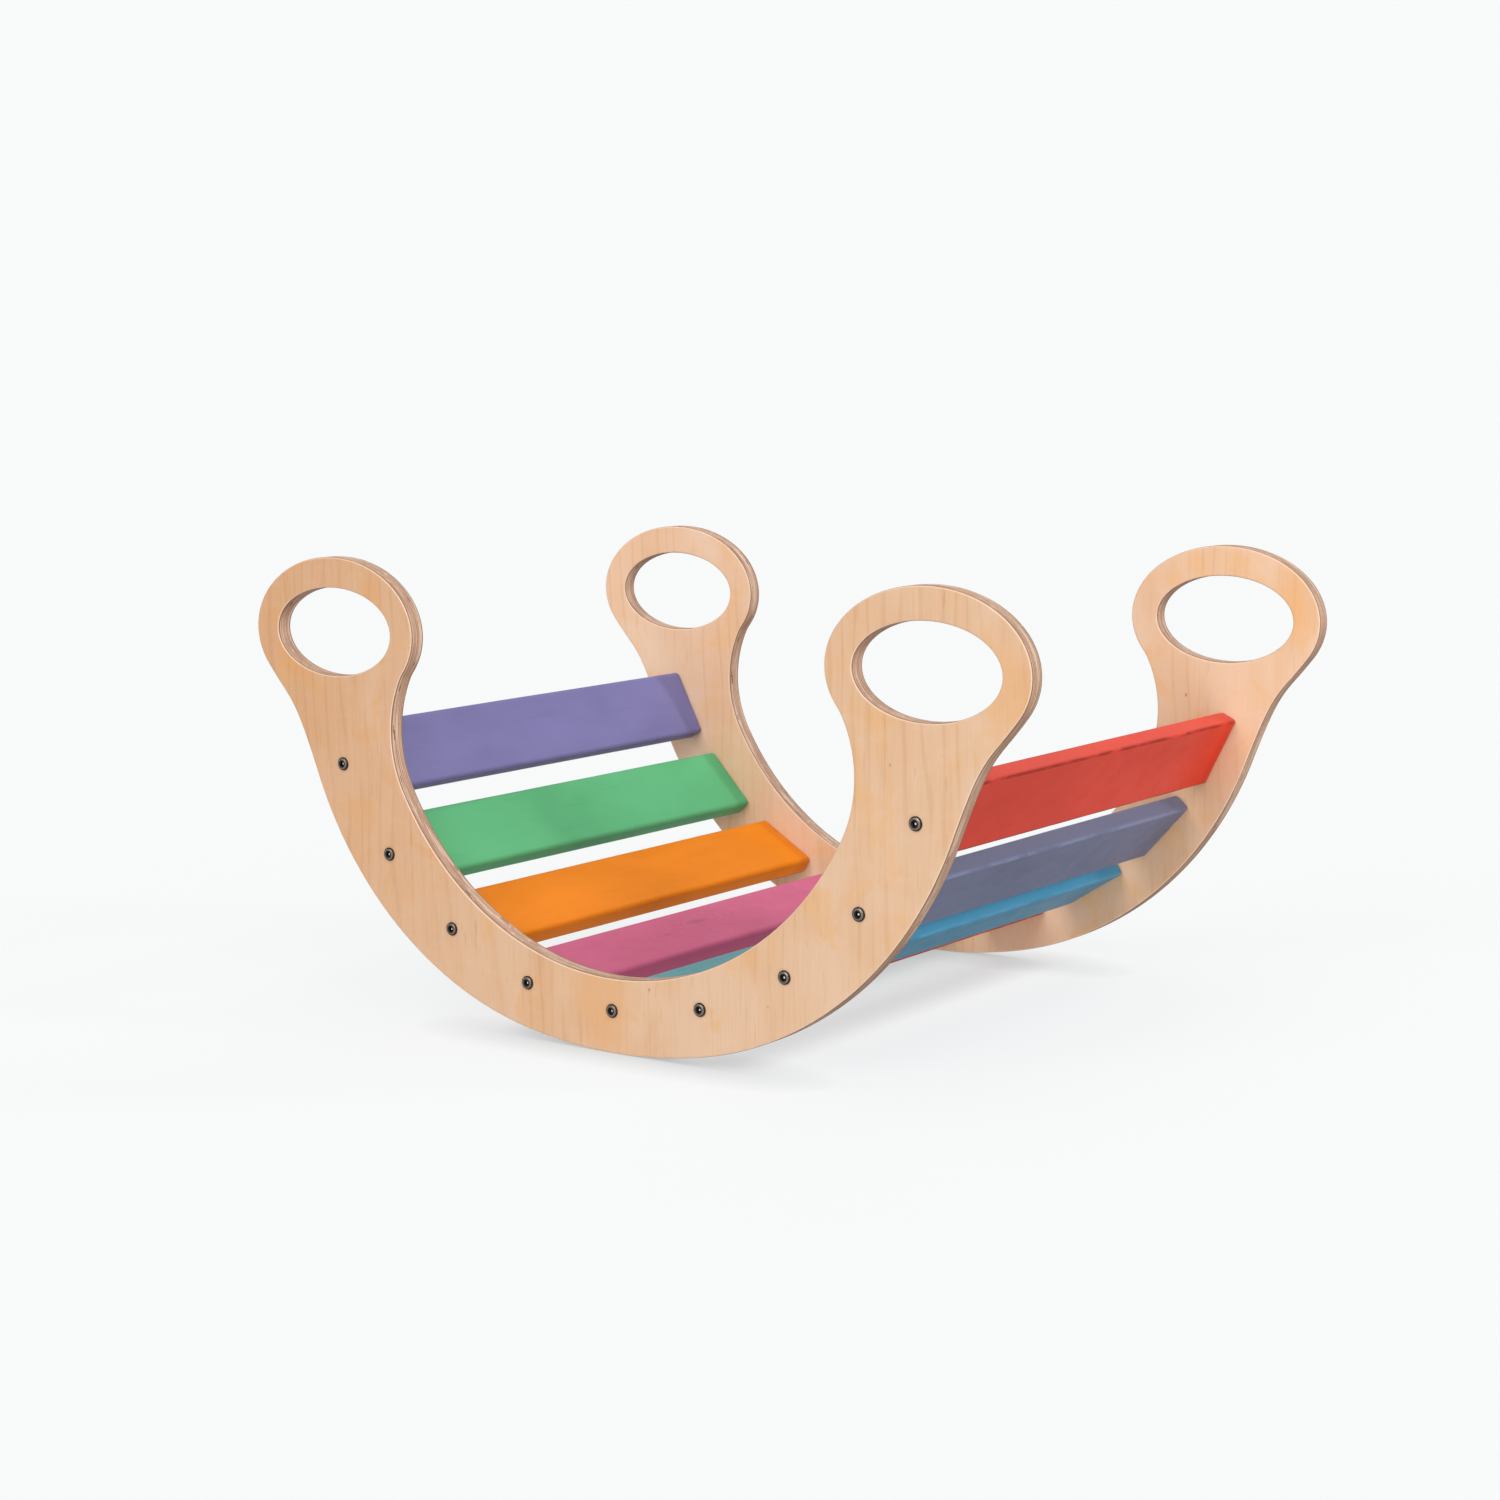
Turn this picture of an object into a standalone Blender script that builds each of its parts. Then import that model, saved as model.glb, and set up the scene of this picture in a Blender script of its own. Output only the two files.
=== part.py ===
"""Children's rocking seesaw: two plywood side panels joined by nine painted slats.

Frame: metres, +Z up, +X along the rocking direction, +Y across the seat from the
front panel to the back panel.  The origin is on the floor under the middle of the seat.
"""
import math

import bmesh
import bpy
from mathutils import Vector

MM = 0.001

# overall
SEAT_WIDTH = 686.0 * MM            # outer face to outer face of the side panels
PANEL_THICKNESS = 21.0 * MM
CLEARANCE = 0.3 * MM               # gap left wherever two pieces meet

# runner: the edge the seesaw rolls on, two arcs tangent to each other
SLAT_CIRCLE_HEIGHT = 498.8 * MM    # centre of the circle the slats sit on, above the floor
SLAT_CIRCLE_RADIUS = 450.0 * MM
RUNNER_RADIUS = 629.7 * MM
RUNNER_ANGLE = math.radians(11.7)
SHOULDER_RADIUS = 435.0 * MM
SHOULDER_ANGLE = math.radians(68.4)
RUNNER_FLAT = 16.0 * MM            # width of the flat facet the runner rests on

# oval grip ring at the end of each arm
RING_X = 413.0 * MM
RING_Z = SLAT_CIRCLE_HEIGHT - 47.0 * MM
RING_HALF_LENGTH = 125.0 * MM
RING_HALF_HEIGHT = 88.2 * MM
GRIP_HALF_LENGTH = 90.0 * MM
GRIP_HALF_HEIGHT = 52.0 * MM
RING_START = math.radians(-29.3)   # where the outer edge of the arm runs into the ring
ARM_PULL_LOW = 0.688
ARM_PULL_HIGH = 0.40

# inner edge: seat arc and the tighter neck arc under the ring
SEAT_ARC_RADIUS = 349.7 * MM
SEAT_ARC_Z = SLAT_CIRCLE_HEIGHT - 63.8 * MM
NECK_RADIUS = 141.3 * MM
NECK_REACH = 324.9 * MM            # widest half-opening between the arms
NOTCH_CUT = 6.0 * MM               # length eased off each side of the notch

PANEL_EDGE = 2.0 * MM
PANEL_EDGE_STEPS = 2

# slats
SLAT_COUNT = 9
SLAT_PITCH = math.radians(15.8)
SLAT_WIDTH = 90.0 * MM
SLAT_THICKNESS = 24.0 * MM
SLAT_EDGE_SEAT = 6.0 * MM          # long edges the sitter feels
SLAT_EDGE_UNDER = 4.0 * MM
SLAT_EDGE_STEPS = 3
SLAT_END = 3.5 * MM
SLAT_END_STEPS = 2

# connector screws: wide low domed head, hexagon socket, wood thread in the slat
HEAD_DIAMETER = 15.6 * MM
HEAD_RIM = 1.2 * MM
HEAD_HEIGHT = 3.0 * MM
SOCKET_ACROSS_FLATS = 5.0 * MM
SOCKET_DEPTH = 2.4 * MM
CROWN_FLAT = 3.4 * MM              # radius of the flat round the socket
SHANK_DIAMETER = 7.0 * MM
SCREW_LENGTH = 50.0 * MM
TIP_LENGTH = 5.0 * MM
HEAD_SIDES = 18

# locating dowels, beside each screw
DOWEL_DIAMETER = 8.0 * MM
DOWEL_LENGTH = 30.0 * MM
DOWEL_IN_PANEL = 12.0 * MM
DOWEL_OFFSET = 28.0 * MM
DOWEL_CHAMFER = 1.0 * MM
HOLE_SIDES = 12

COLOURS = {
    "birch": (0.570, 0.370, 0.235),
    "violet": (0.170, 0.158, 0.350),
    "green": (0.092, 0.430, 0.180),
    "orange": (0.800, 0.215, 0.004),
    "pink": (0.600, 0.105, 0.225),
    "teal": (0.078, 0.275, 0.312),
    "vermilion": (0.520, 0.060, 0.010),
    "sky": (0.018, 0.210, 0.400),
    "slate": (0.095, 0.105, 0.180),
    "red": (0.560, 0.020, 0.008),
    "bronze": (0.090, 0.070, 0.058),
    "beech": (0.560, 0.370, 0.220),
}
SLAT_COLOURS = ("violet", "green", "orange", "pink", "teal", "vermilion", "sky", "slate", "red")

FRONT_Y = -SEAT_WIDTH / 2
BACK_Y = SEAT_WIDTH / 2


# ------------------------------------------------------------------ plane curves
def arc(centre, radius, start, end, steps):
    """Points on an arc in the XZ plane, both ends included."""
    turn = (end - start) / steps
    points = []
    for i in range(steps + 1):
        angle = start + turn * i
        points.append(centre + radius * Vector((math.cos(angle), math.sin(angle))))
    return points


def oval_point(half_length, half_height, angle):
    centre = Vector((RING_X, RING_Z))
    return centre + Vector((half_length * math.cos(angle), half_height * math.sin(angle)))


def oval_tangent(half_length, half_height, angle):
    return Vector((-half_length * math.sin(angle), half_height * math.cos(angle))).normalized()


def blend(start, start_dir, end, end_dir, pulls, steps):
    """Cubic easing between two points, tangent to both directions; inner points only."""
    span = (end - start).length
    a = start + start_dir * span * pulls[0]
    b = end - end_dir * span * pulls[1]
    points = []
    for i in range(1, steps):
        t = i / steps
        s = 1 - t
        points.append(s ** 3 * start + 3 * s * s * t * a + 3 * s * t * t * b + t ** 3 * end)
    return points


def runner_edge():
    """Rolling edge from the flat facet up to the arm, right half."""
    centre = Vector((0.0, RUNNER_RADIUS))
    first = math.asin(RUNNER_FLAT / 2 / RUNNER_RADIUS)
    drop = RUNNER_RADIUS - RUNNER_RADIUS * math.cos(first)
    down = -math.pi / 2
    low = arc(centre, RUNNER_RADIUS, down + first, down + RUNNER_ANGLE, 4)
    lean = Vector((math.sin(RUNNER_ANGLE), -math.cos(RUNNER_ANGLE)))
    shoulder = centre + (RUNNER_RADIUS - SHOULDER_RADIUS) * lean
    high = arc(shoulder, SHOULDER_RADIUS, down + RUNNER_ANGLE, down + SHOULDER_ANGLE, 14)
    return [p - Vector((0.0, drop)) for p in low + high[1:]]


def neck_centre():
    rise = math.sqrt((SEAT_ARC_RADIUS - NECK_RADIUS) ** 2 - (NECK_REACH - NECK_RADIUS) ** 2)
    return Vector((NECK_REACH - NECK_RADIUS, SEAT_ARC_Z - rise))


def notch_angle():
    """Oval angle at which the ring meets the neck arc, found by halving."""
    centre = neck_centre()
    low = math.radians(185.0)
    high = math.radians(260.0)
    for _ in range(50):
        middle = (low + high) / 2
        point = oval_point(RING_HALF_LENGTH, RING_HALF_HEIGHT, middle)
        if (point - centre).length < NECK_RADIUS:
            low = middle
        else:
            high = middle
    return low


def half_outline():
    """Right half of the panel edge, from the runner facet round to the seat arc."""
    points = runner_edge()
    rise = Vector((math.cos(SHOULDER_ANGLE), math.sin(SHOULDER_ANGLE)))
    ring_in = oval_point(RING_HALF_LENGTH, RING_HALF_HEIGHT, RING_START)
    ring_dir = oval_tangent(RING_HALF_LENGTH, RING_HALF_HEIGHT, RING_START)
    points += blend(points[-1], rise, ring_in, ring_dir, (ARM_PULL_LOW, ARM_PULL_HIGH), 7)

    centre = neck_centre()
    notch = notch_angle()
    corner = oval_point(RING_HALF_LENGTH, RING_HALF_HEIGHT, notch)
    ring_out_angle = notch - NOTCH_CUT / RING_HALF_HEIGHT
    steps = 29
    for i in range(steps + 1):
        angle = RING_START + (ring_out_angle - RING_START) * i / steps
        points.append(oval_point(RING_HALF_LENGTH, RING_HALF_HEIGHT, angle))

    ring_out = points[-1]
    ring_out_dir = oval_tangent(RING_HALF_LENGTH, RING_HALF_HEIGHT, ring_out_angle)
    offset = corner - centre
    neck_start = math.atan2(offset.y, offset.x) - NOTCH_CUT / NECK_RADIUS
    seat = Vector((0.0, SEAT_ARC_Z))
    toward = centre - seat
    neck_end = math.atan2(toward.y, toward.x)
    neck = arc(centre, NECK_RADIUS, neck_start, neck_end, 9)
    neck_dir = Vector((math.sin(neck_start), -math.cos(neck_start)))
    points += blend(ring_out, ring_out_dir, neck[0], neck_dir, (0.4, 0.4), 3)
    points += neck
    points += arc(seat, SEAT_ARC_RADIUS, neck_end, -math.pi / 2, 14)[1:]
    return points


def panel_outline():
    right = half_outline()
    left = [Vector((-p.x, p.y)) for p in reversed(right[:-1])]
    return right + left


def grip_outline(side):
    steps = 36
    points = []
    for i in range(steps):
        angle = 2 * math.pi * i / steps
        point = oval_point(GRIP_HALF_LENGTH, GRIP_HALF_HEIGHT, angle)
        points.append(Vector((side * point.x, point.y)))
    return points


def slat_outline():
    """Slat section: softer corners on the seat side (+Z) than underneath."""
    points = []
    steps = SLAT_EDGE_STEPS
    corners = ((1, -1, -math.pi / 2), (1, 1, 0.0), (-1, 1, math.pi / 2), (-1, -1, math.pi))
    for sx, sy, start in corners:
        radius = SLAT_EDGE_SEAT if sy > 0 else SLAT_EDGE_UNDER
        centre = Vector((sx * (SLAT_WIDTH / 2 - radius), sy * (SLAT_THICKNESS / 2 - radius)))
        points += arc(centre, radius, start, start + math.pi / 2, steps)
    return points


def circle(centre, radius, sides):
    return arc(centre, radius, 0.0, 2 * math.pi * (sides - 1) / sides, sides - 1)


# ------------------------------------------------------------------ solids
def signed_area(points):
    total = 0.0
    for a, b in zip(points, points[1:] + points[:1]):
        total += a.x * b.y - b.x * a.y
    return total / 2


def inset(points, distance):
    """Moves a closed loop toward its own inside (a hole's loop moves into the material)."""
    sign = 1.0 if signed_area(points) > 0 else -1.0
    result = []
    count = len(points)
    for i in range(count):
        before = (points[i] - points[i - 1]).normalized()
        after = (points[(i + 1) % count] - points[i]).normalized()
        normal = Vector((-(before.y + after.y), before.x + after.x)).normalized()
        lean = max(normal.dot(Vector((-before.y, before.x))), 0.5)
        result.append(points[i] + normal * (sign * distance / lean))
    return result


def add_loop(bm, points, y):
    return [bm.verts.new((p.x, y, p.y)) for p in points]


def bridge(bm, first, second):
    count = len(first)
    for i in range(count):
        j = (i + 1) % count
        bm.faces.new((first[i], first[j], second[j], second[i]))


def fill_between(bm, loops):
    """Flat face spanning an outer loop and the holes inside it."""
    edges = []
    for loop in loops:
        for a, b in zip(loop, loop[1:] + loop[:1]):
            edges.append(bm.edges.get((a, b)) or bm.edges.new((a, b)))
    bmesh.ops.triangle_fill(bm, edges=edges, use_beauty=True, use_dissolve=False)


def edge_rings(y0, y1, radius, steps):
    """(y, inset) pairs walking over the two rounded rims of a plate."""
    rings = []
    for i in range(steps + 1):
        angle = math.pi / 2 * i / steps
        rings.append((y0 + radius * (1 - math.sin(angle)), radius * (1 - math.cos(angle))))
    first = list(reversed(rings))
    last = [(y0 + y1 - y, step) for y, step in rings]
    return first + last


def plate(outlines, y0, y1, edge, steps, through, blind):
    """Plate along Y with rounded rims on its outline and windows.

    outlines: outer loop then window loops; through: plain round holes;
    blind: (end y, depth, loop) pockets sunk from one face.
    """
    bm = bmesh.new()
    faces = {y0: [], y1: []}
    for number, points in enumerate(outlines):
        grow = 1.0 if number == 0 else -1.0
        rings = []
        for y, step in reversed(edge_rings(y0, y1, edge, steps)):
            rings.append(add_loop(bm, inset(points, grow * step), y))
        for a, b in zip(rings, rings[1:]):
            bridge(bm, a, b)
        faces[y1].append(rings[0])
        faces[y0].append(rings[-1])
    for points in through:
        near = add_loop(bm, points, y0)
        far = add_loop(bm, points, y1)
        bridge(bm, near, far)
        faces[y0].append(near)
        faces[y1].append(far)
    for end, depth, points in blind:
        mouth = add_loop(bm, points, end)
        inward = depth if end == y0 else -depth
        floor = add_loop(bm, points, end + inward)
        bridge(bm, mouth, floor)
        bm.faces.new(floor)
        faces[end].append(mouth)
    fill_between(bm, faces[y0])
    fill_between(bm, faces[y1])
    return bm


def turned(profile, sides, socket=None):
    """Solid of revolution about Y; profile is (radius, y) from one axis end to the other.

    A profile point named by socket is pressed out to a hexagon of that inner radius.
    """
    bm = bmesh.new()
    rings = []
    for number, (radius, y) in enumerate(profile):
        ring = []
        for i in range(sides):
            angle = 2 * math.pi * i / sides
            reach = radius
            if socket and number in socket:
                fold = (angle + math.pi / 6) % (math.pi / 3) - math.pi / 6
                reach = radius / math.cos(fold)
            ring.append(bm.verts.new((reach * math.cos(angle), y, reach * math.sin(angle))))
        rings.append(ring)
    for a, b in zip(rings, rings[1:]):
        bridge(bm, a, b)
    bm.faces.new(rings[0])
    bm.faces.new(rings[-1])
    return bm


def finish_mesh(bm, name):
    bmesh.ops.recalc_face_normals(bm, faces=bm.faces)
    bmesh.ops.triangulate(bm, faces=bm.faces)
    mesh = bpy.data.meshes.new(name)
    bm.to_mesh(mesh)
    bm.free()
    mesh.shade_smooth()
    mesh.set_sharp_from_angle(angle=math.radians(35.0))
    return mesh


def material(name, colour, roughness, metallic=0.0):
    mat = bpy.data.materials.new(name)
    mat.use_nodes = True
    shader = mat.node_tree.nodes["Principled BSDF"]
    shader.inputs["Base Color"].default_value = (*COLOURS[colour], 1.0)
    shader.inputs["Roughness"].default_value = roughness
    shader.inputs["Metallic"].default_value = metallic
    mat.diffuse_color = (*COLOURS[colour], 1.0)
    return mat


def place(name, mesh, mat, location=(0.0, 0.0, 0.0), turn_y=0.0, turn_z=0.0):
    obj = bpy.data.objects.new(name, mesh)
    bpy.context.collection.objects.link(obj)
    obj.data.materials.clear()
    obj.data.materials.append(mat)
    obj.location = location
    obj.rotation_euler = (0.0, turn_y, turn_z)
    return obj


# ------------------------------------------------------------------ pieces
def slat_angle(index):
    return SLAT_PITCH * (index - (SLAT_COUNT - 1) / 2)


def on_slat(index, along):
    """Point on the slat's centre plane, offset along its width, in XZ."""
    angle = slat_angle(index)
    middle = SLAT_CIRCLE_RADIUS * Vector((math.sin(angle), -math.cos(angle)))
    tangent = Vector((math.cos(angle), math.sin(angle)))
    return Vector((0.0, SLAT_CIRCLE_HEIGHT)) + middle + along * tangent


def dowel_offset(index):
    """The dowel sits on the side of the slat nearer its arm."""
    return -DOWEL_OFFSET if index < SLAT_COUNT // 2 else DOWEL_OFFSET


def panel_mesh(name, y0, inner_y):
    y1 = y0 + PANEL_THICKNESS
    outlines = [panel_outline(), grip_outline(1), grip_outline(-1)]
    bore = SHANK_DIAMETER / 2 + CLEARANCE
    pocket = DOWEL_DIAMETER / 2 + CLEARANCE
    depth = DOWEL_IN_PANEL + CLEARANCE
    inner = y0 if inner_y == y0 else y1
    through = []
    blind = []
    for index in range(SLAT_COUNT):
        through.append(circle(on_slat(index, 0.0), bore, HOLE_SIDES))
        seat = on_slat(index, dowel_offset(index))
        blind.append((inner, depth, circle(seat, pocket, HOLE_SIDES)))
    bm = plate(outlines, y0, y1, PANEL_EDGE, PANEL_EDGE_STEPS, through, blind)
    return finish_mesh(bm, name)


def slat_mesh(name, offset):
    length = SEAT_WIDTH - 2 * PANEL_THICKNESS - 2 * CLEARANCE
    y0 = -length / 2
    y1 = length / 2
    reach = SCREW_LENGTH - PANEL_THICKNESS + 2 * CLEARANCE
    bore = SHANK_DIAMETER / 2 + CLEARANCE
    pocket = DOWEL_DIAMETER / 2 + CLEARANCE
    depth = DOWEL_LENGTH - DOWEL_IN_PANEL + CLEARANCE
    blind = []
    for end in (y0, y1):
        blind.append((end, reach, circle(Vector((0.0, 0.0)), bore, HOLE_SIDES)))
        blind.append((end, depth, circle(Vector((offset, 0.0)), pocket, HOLE_SIDES)))
    bm = plate([slat_outline()], y0, y1, SLAT_END, SLAT_END_STEPS, [], blind)
    return finish_mesh(bm, name)


def screw_mesh():
    """Screw along +Y: the head's underside lies one clearance in front of y = 0."""
    rim = HEAD_DIAMETER / 2
    flat = SOCKET_ACROSS_FLATS / 2
    under = -CLEARANCE
    top = under - HEAD_HEIGHT
    profile = [(flat, top + SOCKET_DEPTH), (flat, top)]
    crown = HEAD_HEIGHT - HEAD_RIM
    for step in range(3):
        angle = math.pi / 2 * step / 2
        radius = CROWN_FLAT + (rim - CROWN_FLAT) * math.sin(angle)
        profile.append((radius, under - HEAD_RIM - crown * math.cos(angle)))
    shank = SHANK_DIAMETER / 2
    profile.append((rim, under))
    profile.append((shank, under))
    profile.append((shank, SCREW_LENGTH - TIP_LENGTH))
    profile.append((shank * 0.35, SCREW_LENGTH))
    bm = turned(profile, HEAD_SIDES, socket=(0, 1))
    return finish_mesh(bm, "connector_screw")


def dowel_mesh():
    radius = DOWEL_DIAMETER / 2
    half = DOWEL_LENGTH / 2
    profile = [
        (radius - DOWEL_CHAMFER, -half),
        (radius, -half + DOWEL_CHAMFER),
        (radius, half - DOWEL_CHAMFER),
        (radius - DOWEL_CHAMFER, half),
    ]
    return finish_mesh(turned(profile, HOLE_SIDES), "locating_dowel")


def build():
    for obj in list(bpy.data.objects):
        bpy.data.objects.remove(obj, do_unlink=True)

    front_inner = FRONT_Y + PANEL_THICKNESS
    back_inner = BACK_Y - PANEL_THICKNESS
    front = panel_mesh("side_panel_front", FRONT_Y, front_inner)
    back = panel_mesh("side_panel_back", back_inner, back_inner)
    place("side_panel_front", front, material("birch_front", "birch", 0.55))
    place("side_panel_back", back, material("birch_back", "birch", 0.55))

    dowel = dowel_mesh()
    screw = screw_mesh()
    for index in range(SLAT_COUNT):
        number = f"{index + 1:02d}"
        colour = SLAT_COLOURS[index]
        angle = slat_angle(index)
        offset = dowel_offset(index)
        middle = on_slat(index, 0.0)
        slat = slat_mesh(f"slat_{number}_{colour}", offset)
        paint = material(f"paint_{colour}", colour, 0.42)
        place(f"slat_{number}_{colour}", slat, paint, (middle.x, 0.0, middle.y), -angle)

        ends = (("front", FRONT_Y, front_inner, 1, 0.0), ("back", BACK_Y, back_inner, -1, math.pi))
        for side, outer_y, inner_y, inward, turn in ends:
            metal = material(f"bronze_{side}_{number}", "bronze", 0.35, 0.8)
            where = (middle.x, outer_y, middle.y)
            place(f"screw_{side}_{number}", screw.copy(), metal, where, turn_z=turn)
            seat = on_slat(index, offset)
            centre_y = inner_y + inward * (DOWEL_LENGTH / 2 - DOWEL_IN_PANEL)
            wood = material(f"beech_{side}_{number}", "beech", 0.7)
            place(f"dowel_{side}_{number}", dowel.copy(), wood, (seat.x, centre_y, seat.y))


build()
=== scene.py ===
"""Looks of the children's rocking seesaw: birch plywood sides, painted slats, bronze screws.

Everything is in metres in the CAD frame: +X along the rocking direction, +Y across the
seat to the back panel, +Z up, origin on the floor under the middle of the seat.
"""

import math

import bmesh
import bpy
from mathutils import Matrix, Vector, noise


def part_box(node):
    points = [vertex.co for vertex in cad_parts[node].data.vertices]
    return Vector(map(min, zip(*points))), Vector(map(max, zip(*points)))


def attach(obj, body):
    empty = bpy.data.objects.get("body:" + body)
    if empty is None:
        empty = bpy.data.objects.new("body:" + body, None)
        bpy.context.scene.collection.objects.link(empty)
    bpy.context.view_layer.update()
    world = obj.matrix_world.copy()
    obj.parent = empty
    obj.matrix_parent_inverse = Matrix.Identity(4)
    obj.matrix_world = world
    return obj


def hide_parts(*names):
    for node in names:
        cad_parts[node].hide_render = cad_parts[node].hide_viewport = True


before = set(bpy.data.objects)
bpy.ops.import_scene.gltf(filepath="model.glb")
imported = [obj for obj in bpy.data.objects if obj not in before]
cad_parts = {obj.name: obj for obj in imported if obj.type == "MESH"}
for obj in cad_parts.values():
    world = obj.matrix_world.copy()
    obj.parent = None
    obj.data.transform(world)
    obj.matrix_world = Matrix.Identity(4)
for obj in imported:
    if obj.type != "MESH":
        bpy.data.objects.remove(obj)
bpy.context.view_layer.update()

MM = 0.001
DOWN = -math.pi / 2
SLAT_COUNT = 9
SLAT_PITCH = math.radians(15.8)    # angle between slats on the circle they sit on
CIRCLE_Z = 498.8 * MM              # centre of that circle, above the floor
CIRCLE_R = 450.0 * MM
SLAT_WIDTH = 90.0 * MM
SLAT_THICK = 24.0 * MM
SLAT_HALF_LENGTH = 321.7 * MM
SEAT_ROUND = 6.0 * MM              # rounding of the long edges on the seat side
UNDER_ROUND = 4.0 * MM
END_ROUND = 3.5 * MM
PANEL_ROUND = 2.0 * MM
PLY_COUNT = 15
BORE_RADIUS = 3.8 * MM             # hole in a panel round a screw's shank
RUNNER_FACET = 0.0127              # half of the flat facet the runner rests on, in radians

# name of the paint, linear colour, knots (along the width, along the length, mm size),
# and the (scale, lift) of the colour on the worn lower crest: painted shade below a scale of 1, a painted
# highlight above it
PAINTS = (
    ("violet", (0.165, 0.154, 0.332), (), (0.62, 0.01)),
    ("green", (0.092, 0.380, 0.165), (), (0.70, 0.01)),
    ("orange", (0.68, 0.185, 0.0010), (), (0.62, 0.0)),
    ("pink", (0.520, 0.107, 0.206), ((-0.011, -0.012, 7.0), (0.001, -0.088, 4.0)), (0.60, 0.0)),
    ("teal", (0.090, 0.300, 0.335), (), (0.75, 0.01)),
    ("vermilion", (0.52, 0.06, 0.01), (), (0.60, 0.0)),
    ("sky", (0.044, 0.228, 0.375), (), (1.20, 0.03)),
    ("slate", (0.134, 0.147, 0.236), (), (1.35, 0.03)),
    ("red", (0.60, 0.052, 0.031), (), (0.30, 0.0)),
)

# how strongly the fine upright figure shows in each face veneer
FIGURE = {"birch_front": 0.85, "birch_back": 0.40}

# broad amber patches in the face veneers: x, z in metres, reach in mm
AMBER = {
    "birch_front": ((0.512, 0.447, 62.0), (-0.480, 0.440, 48.0), (-0.020, 0.060, 60.0)),
    "birch_back": ((0.500, 0.470, 45.0),),
}

# painted shade along each board: colour factors from its near end (darker) to its far end (lighter)
NEAR_END_SHADE_RAMP = ((0.95, 0.95, 0.95), (1.05, 1.05, 1.05))

# colour factor at the far end of one board, which turns more orange there
FAR_END_TINT = {"paint_red": (1.0, 0.60, 0.38)}

# boards whose paint seed is above this have their upper narrow side painted lighter, a painted highlight
# from light above
LIT_NARROW_SIDE_FROM = 6.0

# small dark pin knots in the face veneers: x, z in metres, size in mm
KNOTS = {
    "front": ((0.0521, 0.0789, 0.8), (0.2134, 0.0804, 0.6), (0.3702, 0.3539, 0.6)),
    "back": ((0.3638, 0.3573, 0.8), (-0.150, 0.100, 0.6)),
}

# painted light: veneer colour factors at the left and right end of each panel, lighter towards the right
# end; the back panel is painted paler than the front
PANEL_LIGHT_RAMP = {
    "front": ((0.97, 0.91, 0.855), (1.09, 1.13, 1.18)),
    "back": ((1.24, 1.28, 1.38), (1.20, 1.21, 1.24)),
}


# ------------------------------------------------------------------ plane curves (x, z)
def arc(centre, radius, start, end, steps):
    points = []
    for i in range(steps + 1):
        angle = start + (end - start) * i / steps
        points.append(centre + radius * Vector((math.cos(angle), math.sin(angle))))
    return points


def bezier(p0, d0, p1, d1, pulls, steps):
    span = (p1 - p0).length
    a = p0 + d0 * span * pulls[0]
    b = p1 - d1 * span * pulls[1]
    points = []
    for i in range(1, steps):
        t = i / steps
        s = 1 - t
        points.append(s ** 3 * p0 + 3 * s * s * t * a + 3 * s * t * t * b + t ** 3 * p1)
    return points


# the oval ring at the end of the right arm, a hair inside the CAD one
RING = Vector((413.0, 451.8)) * MM
RING_A, RING_B = 124.76 * MM, 88.0 * MM
GRIP_A, GRIP_B = 90.0 * MM, 52.0 * MM


def oval(a, b, angle):
    return RING + Vector((a * math.cos(angle), b * math.sin(angle)))


def oval_dir(a, b, angle):
    return Vector((-a * math.sin(angle), b * math.cos(angle))).normalized()


def half_outline():
    """Right half of the panel edge: runner, arm, ring, notch, neck and seat arc."""
    runner_r, shoulder_r = 629.7 * MM, 435.0 * MM
    lean, rise = math.radians(11.7), math.radians(68.4)
    runner = Vector((0.0, runner_r))
    points = arc(runner, runner_r, DOWN + RUNNER_FACET, DOWN + lean, 26)
    shoulder = runner + (runner_r - shoulder_r) * Vector((math.sin(lean), -math.cos(lean)))
    points += arc(shoulder, shoulder_r, DOWN + lean, DOWN + rise, 90)[1:]
    start = math.radians(-29.3)
    arm_pulls, notch_pulls = (0.688, 0.40), (0.4, 0.4)
    up = Vector((math.cos(rise), math.sin(rise)))
    ring_in = oval(RING_A, RING_B, start)
    points += bezier(points[-1], up, ring_in, oval_dir(RING_A, RING_B, start), arm_pulls, 40)

    seat = Vector((0.0, 435.0 * MM))
    seat_r, neck_r, reach = 349.7 * MM, 141.3 * MM, 324.9 * MM
    drop = math.sqrt((seat_r - neck_r) ** 2 - (reach - neck_r) ** 2)
    neck = Vector((reach - neck_r, seat.y - drop))
    low, high = math.radians(185.0), math.radians(260.0)
    for _ in range(50):
        middle = (low + high) / 2
        inside = (oval(RING_A, RING_B, middle) - neck).length < neck_r
        low, high = (middle, high) if inside else (low, middle)
    corner = oval(RING_A, RING_B, low) - neck
    cut = 6.0 * MM
    ring_end = low - cut / RING_B
    ring_steps = 170
    for i in range(ring_steps + 1):
        points.append(oval(RING_A, RING_B, start + (ring_end - start) * i / ring_steps))
    neck_start = math.atan2(corner.y, corner.x) - cut / neck_r
    neck_end = math.atan2((neck - seat).y, (neck - seat).x)
    neck_arc = arc(neck, neck_r, neck_start, neck_end, 50)
    away = Vector((math.sin(neck_start), -math.cos(neck_start)))
    along_ring = oval_dir(RING_A, RING_B, ring_end)
    points += bezier(points[-1], along_ring, neck_arc[0], away, notch_pulls, 8)
    points += neck_arc
    points += arc(seat, seat_r, neck_end, DOWN, 90)[1:]
    return points


def panel_loops():
    right = half_outline()
    outer = right + [Vector((-p.x, p.y)) for p in reversed(right[:-1])]
    grips, steps = [], 200
    for side in (1, -1):
        grips.append([])
        for i in range(steps):
            p = oval(GRIP_A, GRIP_B, 2 * math.pi * i / steps)
            grips[-1].append(Vector((side * p.x, p.y)))
    return [outer] + grips


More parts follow.
